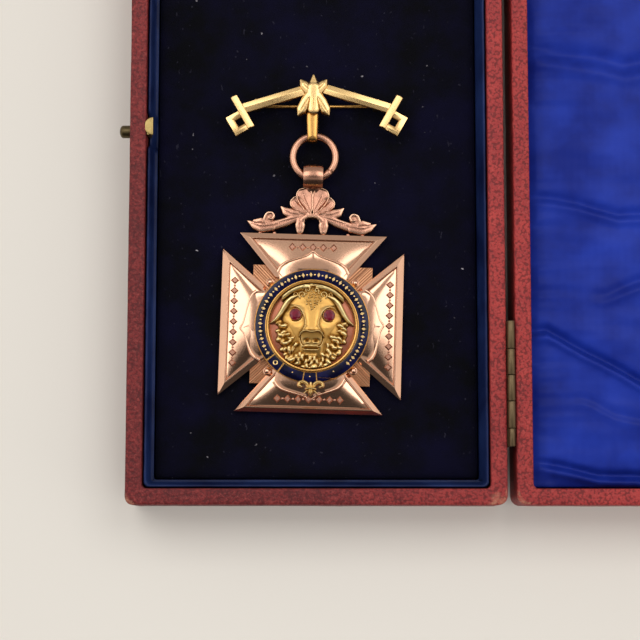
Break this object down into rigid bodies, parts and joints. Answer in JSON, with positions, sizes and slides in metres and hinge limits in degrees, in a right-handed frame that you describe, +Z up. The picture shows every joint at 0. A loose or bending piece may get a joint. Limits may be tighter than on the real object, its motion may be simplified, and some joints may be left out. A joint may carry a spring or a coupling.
{
  "type": "fraternal medal in a hinged presentation case",
  "caption": "Cross-shaped fraternal jewel with enamel garter, chased head and brooch bar, lying on the pad of its hinged leather case.",
  "frame": {"origin": "centre of the case base's underside, on the surface that the open case lies on", "axes": "+X across the case from the catch to the opened lid, +Y up the medal from the cross to the brooch bar, +Z up"},
  "size_m": [0.193, 0.186, 0.0191],
  "materials": {
    "rose_gold": "polished nine-carat rose gold",
    "yellow_gold": "chased yellow gold, satin in the hollows",
    "navy_enamel": "glossy vitreous enamel",
    "red_stone": "cut and polished red stone",
    "red_leather": "fine-grained red leather, rubbed at the edges",
    "navy_velvet": "short-pile velvet",
    "blue_silk": "satin-woven silk",
    "old_brass": "tarnished brass"
  },
  "bodies": {
    "case": {"brooch_bar": "yellow_gold", "brooch_pin": "yellow_gold", "buffalo_head": "yellow_gold", "case_base": "red_leather", "centre_disc": "rose_gold", "cross_body": "rose_gold", "enamel_band": "navy_enamel", "enamel_buckle": "navy_enamel", "enamel_strap_end": "navy_enamel", "enamel_tail_left": "navy_enamel", "enamel_tail_right": "navy_enamel", "eye_left": "red_stone", "eye_right": "red_stone", "garter_frame": "yellow_gold", "hinge_far_base_leaf": "old_brass", "hinge_far_pin": "old_brass", "hinge_near_base_leaf": "old_brass", "hinge_near_pin": "old_brass", "silk_edge": "blue_silk", "strap_finial": "yellow_gold", "stud_1": "rose_gold", "stud_2": "rose_gold", "stud_3": "rose_gold", "stud_4": "rose_gold", "suspension_ring": "rose_gold", "velvet_pad": "navy_velvet"},
    "lid": {"catch_keeper": "old_brass", "hinge_far_lid_leaf": "old_brass", "hinge_near_lid_leaf": "old_brass", "lid_lining": "blue_silk", "lid_shell": "red_leather"},
    "catch": {"catch_button": "old_brass"}
  },
  "joints": [
    {"name": "lid_hinge", "type": "hinge", "parent": "case", "child": "lid", "pos_m": [0.0481, 0, 0.01815], "axis": [0, -1, 0], "range_deg": [0, 180]},
    {"name": "catch_push", "type": "slide", "parent": "case", "child": "catch", "axis": [1, 0, 0], "range_m": [0, 0.0015], "stiffness_N_per_m": 600, "springref_m": -0.001}
  ]
}
